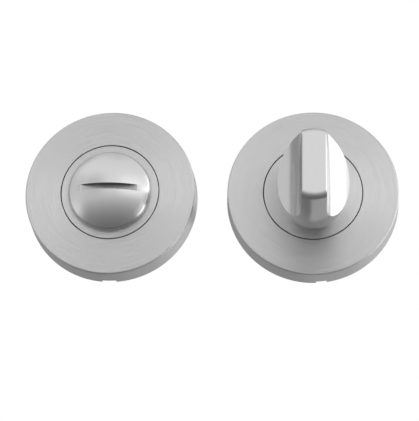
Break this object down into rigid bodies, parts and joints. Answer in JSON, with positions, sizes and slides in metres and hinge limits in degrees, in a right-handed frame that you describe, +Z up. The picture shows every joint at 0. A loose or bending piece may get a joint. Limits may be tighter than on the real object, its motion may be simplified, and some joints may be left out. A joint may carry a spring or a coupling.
{
  "type": "bathroom thumb turn lock",
  "caption": "Round-rose bathroom lock set: an inside thumb turn with a square spindle, and an outside release button with a coin slot.",
  "frame": {"origin": "centre of the thumb turn's rose on the door face; the release rose stands 61 mm to the left", "axes": "+Z up on the door, -Y out of the door towards the room, +X to the right seen from the room; the door lies on the plane Y = 0 and the fixings reach along +Y into it"},
  "size_m": [0.113, 0.086, 0.052],
  "materials": {
    "cover_steel": "satin brushed stainless steel",
    "disc_steel": "satin brushed stainless steel",
    "grip_steel": "fine satin stainless steel",
    "button_steel": "fine satin stainless steel",
    "plate_nylon": "moulded black nylon",
    "washer_nylon": "natural nylon",
    "bush_brass": "turned brass",
    "spring_steel": "oiled spring steel",
    "fixing_steel": "bright zinc plated steel",
    "spindle_steel": "bright zinc plated steel"
  },
  "bodies": {
    "root": {"turn_rose_cover": "cover_steel", "turn_back_plate": "plate_nylon", "turn_face_disc": "disc_steel", "turn_bush": "bush_brass", "turn_disc_spring": "spring_steel", "turn_thrust_washer": "washer_nylon", "turn_fixing_bolts": "fixing_steel", "release_rose_cover": "cover_steel", "release_back_plate": "plate_nylon", "release_face_disc": "disc_steel", "release_bush": "bush_brass", "release_disc_spring": "spring_steel", "release_thrust_washer": "washer_nylon", "release_fixing_posts": "fixing_steel"},
    "turn": {"thumb_turn": "grip_steel", "spindle": "spindle_steel", "spindle_pin": "spring_steel", "turn_retaining_clip": "spring_steel"},
    "release": {"release_button": "button_steel", "release_retaining_clip": "spring_steel"}
  },
  "joints": [
    {"name": "turn_hinge", "type": "hinge", "parent": "root", "child": "turn", "pos_m": [0, 0, 0], "axis": [0, 1, 0], "range_deg": [0, 90]},
    {"name": "release_hinge", "type": "hinge", "parent": "root", "child": "release", "pos_m": [-0.061, 0, 0], "axis": [0, 1, 0], "range_deg": [0, 90]}
  ]
}
